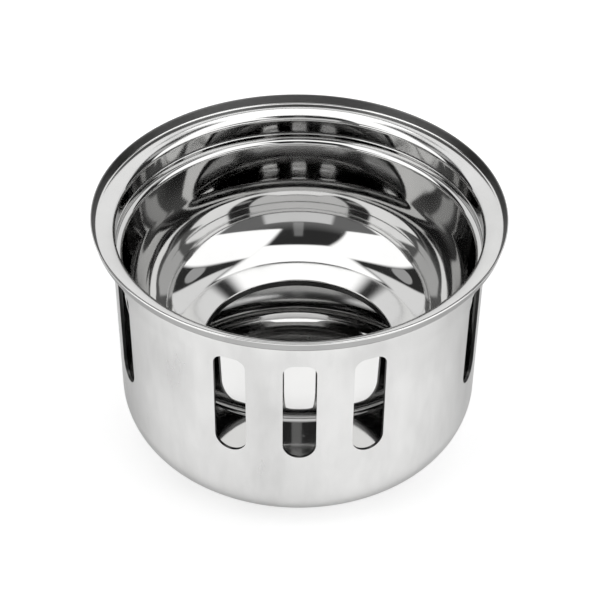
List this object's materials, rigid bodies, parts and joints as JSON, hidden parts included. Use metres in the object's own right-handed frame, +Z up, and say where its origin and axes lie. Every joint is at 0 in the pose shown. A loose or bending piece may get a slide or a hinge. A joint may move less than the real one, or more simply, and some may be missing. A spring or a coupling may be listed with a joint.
{
  "type": "floor drain insert",
  "caption": "Stainless steel floor drain insert: a slotted outer cup hung by its rim, with a seated inner cup that drops the water through a wide middle hole.",
  "frame": {"origin": "middle of the flat bottom of the outer cup", "axes": "+Z up along the axis of both cups, towards the open rim; one group of slots faces -Y"},
  "size_m": [0.104, 0.104, 0.066],
  "materials": {
    "outer_steel": "satin outside, polished inside",
    "inner_steel": "mirror polished"
  },
  "bodies": {
    "root": {"outer_cup": "outer_steel", "inner_cup": "inner_steel"}
  },
  "joints": []
}
